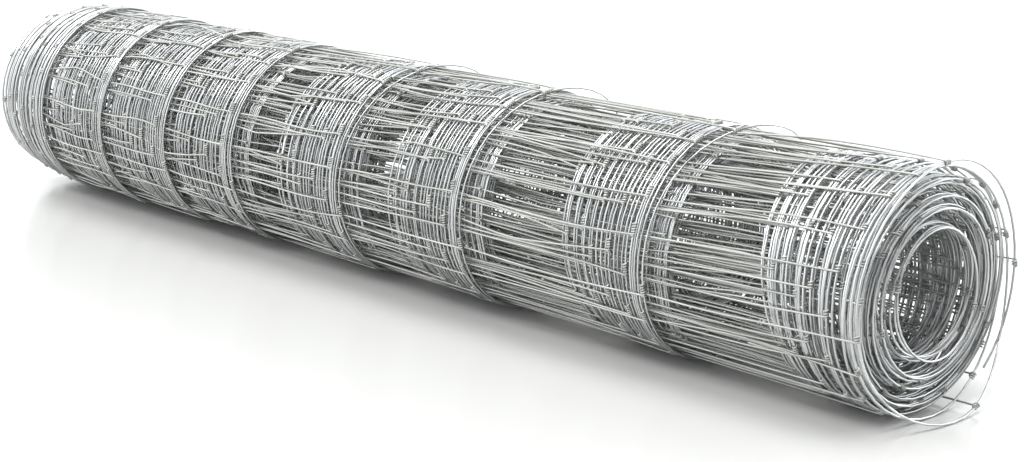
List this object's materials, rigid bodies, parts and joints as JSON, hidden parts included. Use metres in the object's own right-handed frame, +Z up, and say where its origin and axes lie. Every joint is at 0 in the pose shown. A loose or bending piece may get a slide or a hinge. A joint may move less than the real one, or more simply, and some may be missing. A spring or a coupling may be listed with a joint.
{
  "type": "roll of wire fencing",
  "caption": "Roll of galvanised knotted field fence with graduated mesh, lying on its side, with an open core that an unrolling bar passes through.",
  "frame": {"origin": "on the ground under the middle of the roll, as it lies on its side", "axes": "+Z up; +X along the core, from the close mesh to the wide mesh; +Y to the far side of the roll"},
  "size_m": [1.1004, 0.184, 0.184],
  "materials": {
    "galvanised_wire": "galvanised"
  },
  "bodies": {
    "root": {"fence_roll": "galvanised_wire"}
  },
  "joints": []
}
